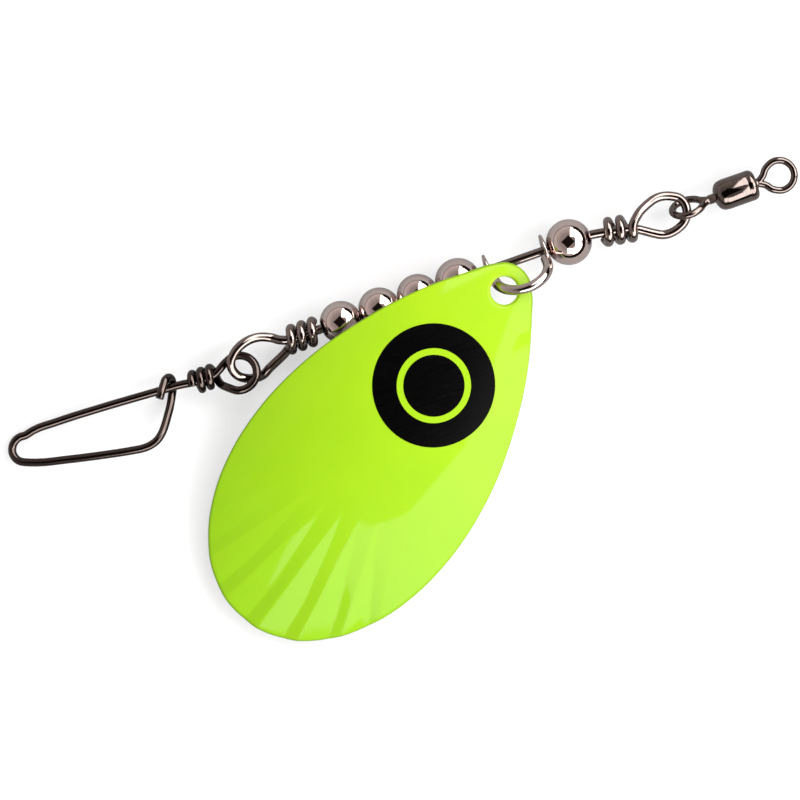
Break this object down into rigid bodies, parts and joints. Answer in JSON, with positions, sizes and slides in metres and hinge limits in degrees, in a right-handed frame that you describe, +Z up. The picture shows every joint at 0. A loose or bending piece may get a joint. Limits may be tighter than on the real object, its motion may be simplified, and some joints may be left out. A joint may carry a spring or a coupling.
{
  "type": "fishing spinner rig",
  "caption": "Inline spinner rig: rolling swivel, wrapped-loop wire shaft, plated beads, stirrup clevis with a fluted teardrop blade and a printed spot, and a hooked snap.",
  "frame": {"origin": "centre of the swivel's line eye", "axes": "+X along the shaft towards the swivel, +Z up as the rig lies flat, +Y away from the blade's side"},
  "size_m": [0.0912, 0.0349, 0.0081],
  "materials": {
    "black_nickel_swivel": "polished black nickel plate",
    "shaft_steel": "bright drawn spring wire",
    "snap_steel": "black nickel spring wire",
    "bead_nickel": "mirror nickel plate",
    "clevis_nickel": "nickel plate",
    "blade_paint": "gloss fluorescent chartreuse",
    "spot_ink": "gloss black print"
  },
  "bodies": {
    "shaft": {"shaft_wire": "shaft_steel"},
    "link_eye": {"swivel_link_eye": "black_nickel_swivel"},
    "barrel": {"swivel_barrel": "black_nickel_swivel"},
    "line_eye": {"swivel_line_eye": "black_nickel_swivel"},
    "clevis": {"clevis": "clevis_nickel"},
    "blade": {"blade": "blade_paint", "blade_spot": "spot_ink"},
    "top_bead": {"top_bead": "bead_nickel"},
    "bead_4": {"bead_4": "bead_nickel"},
    "bead_3": {"bead_3": "bead_nickel"},
    "bead_2": {"bead_2": "bead_nickel"},
    "bead_1": {"bead_1": "bead_nickel"},
    "snap": {"snap_wire": "snap_steel"},
    "snap_gate": {"snap_gate": "snap_steel"}
  },
  "joints": [
    {"name": "swivel_swing", "type": "hinge", "parent": "shaft", "child": "link_eye", "pos_m": [-0.01072, -0.0001, 0.00022], "axis": [0, 1, 0], "range_deg": [-15, 40]},
    {"name": "barrel_spin", "type": "hinge", "parent": "link_eye", "child": "barrel", "pos_m": [-0.005, 0, 0], "axis": [1, 0, 0], "continuous": true},
    {"name": "line_eye_spin", "type": "hinge", "parent": "barrel", "child": "line_eye", "pos_m": [-0.003, 0, 0], "axis": [1, 0, 0], "continuous": true},
    {"name": "clevis_spin", "type": "hinge", "parent": "shaft", "child": "clevis", "pos_m": [-0.03003, 0.0007, 0.0004], "axis": [1, 0, 0], "continuous": true},
    {"name": "blade_swing", "type": "hinge", "parent": "clevis", "child": "blade", "pos_m": [-0.03003, -0.00065, 0.00201], "axis": [0, 0.766, 0.6428], "range_deg": [0, 60]},
    {"name": "top_bead_spin", "type": "hinge", "parent": "shaft", "child": "top_bead", "pos_m": [-0.024, 0.0007, 0.0004], "axis": [1, 0, 0], "continuous": true},
    {"name": "bead_4_spin", "type": "hinge", "parent": "shaft", "child": "bead_4", "pos_m": [-0.03675, 0.0007, 0.0004], "axis": [1, 0, 0], "continuous": true},
    {"name": "bead_3_spin", "type": "hinge", "parent": "shaft", "child": "bead_3", "pos_m": [-0.04138, 0.0007, 0.0004], "axis": [1, 0, 0], "continuous": true},
    {"name": "bead_2_spin", "type": "hinge", "parent": "shaft", "child": "bead_2", "pos_m": [-0.0458, 0.0007, 0.0004], "axis": [1, 0, 0], "continuous": true},
    {"name": "bead_1_spin", "type": "hinge", "parent": "shaft", "child": "bead_1", "pos_m": [-0.05022, 0.0007, 0.0004], "axis": [1, 0, 0], "continuous": true},
    {"name": "snap_swing", "type": "hinge", "parent": "shaft", "child": "snap", "pos_m": [-0.0618, -0.0007, 0.0008], "axis": [-0.3489, 0.9371, 0], "range_deg": [-34, 24]},
    {"name": "snap_gate_squeeze", "type": "hinge", "parent": "snap", "child": "snap_gate", "pos_m": [-0.08831, -0.00095, -0.00116], "axis": [-0.057, 0.2756, 0.9596], "range_deg": [0, 6], "stiffness_Nm_per_rad": 0.002}
  ]
}
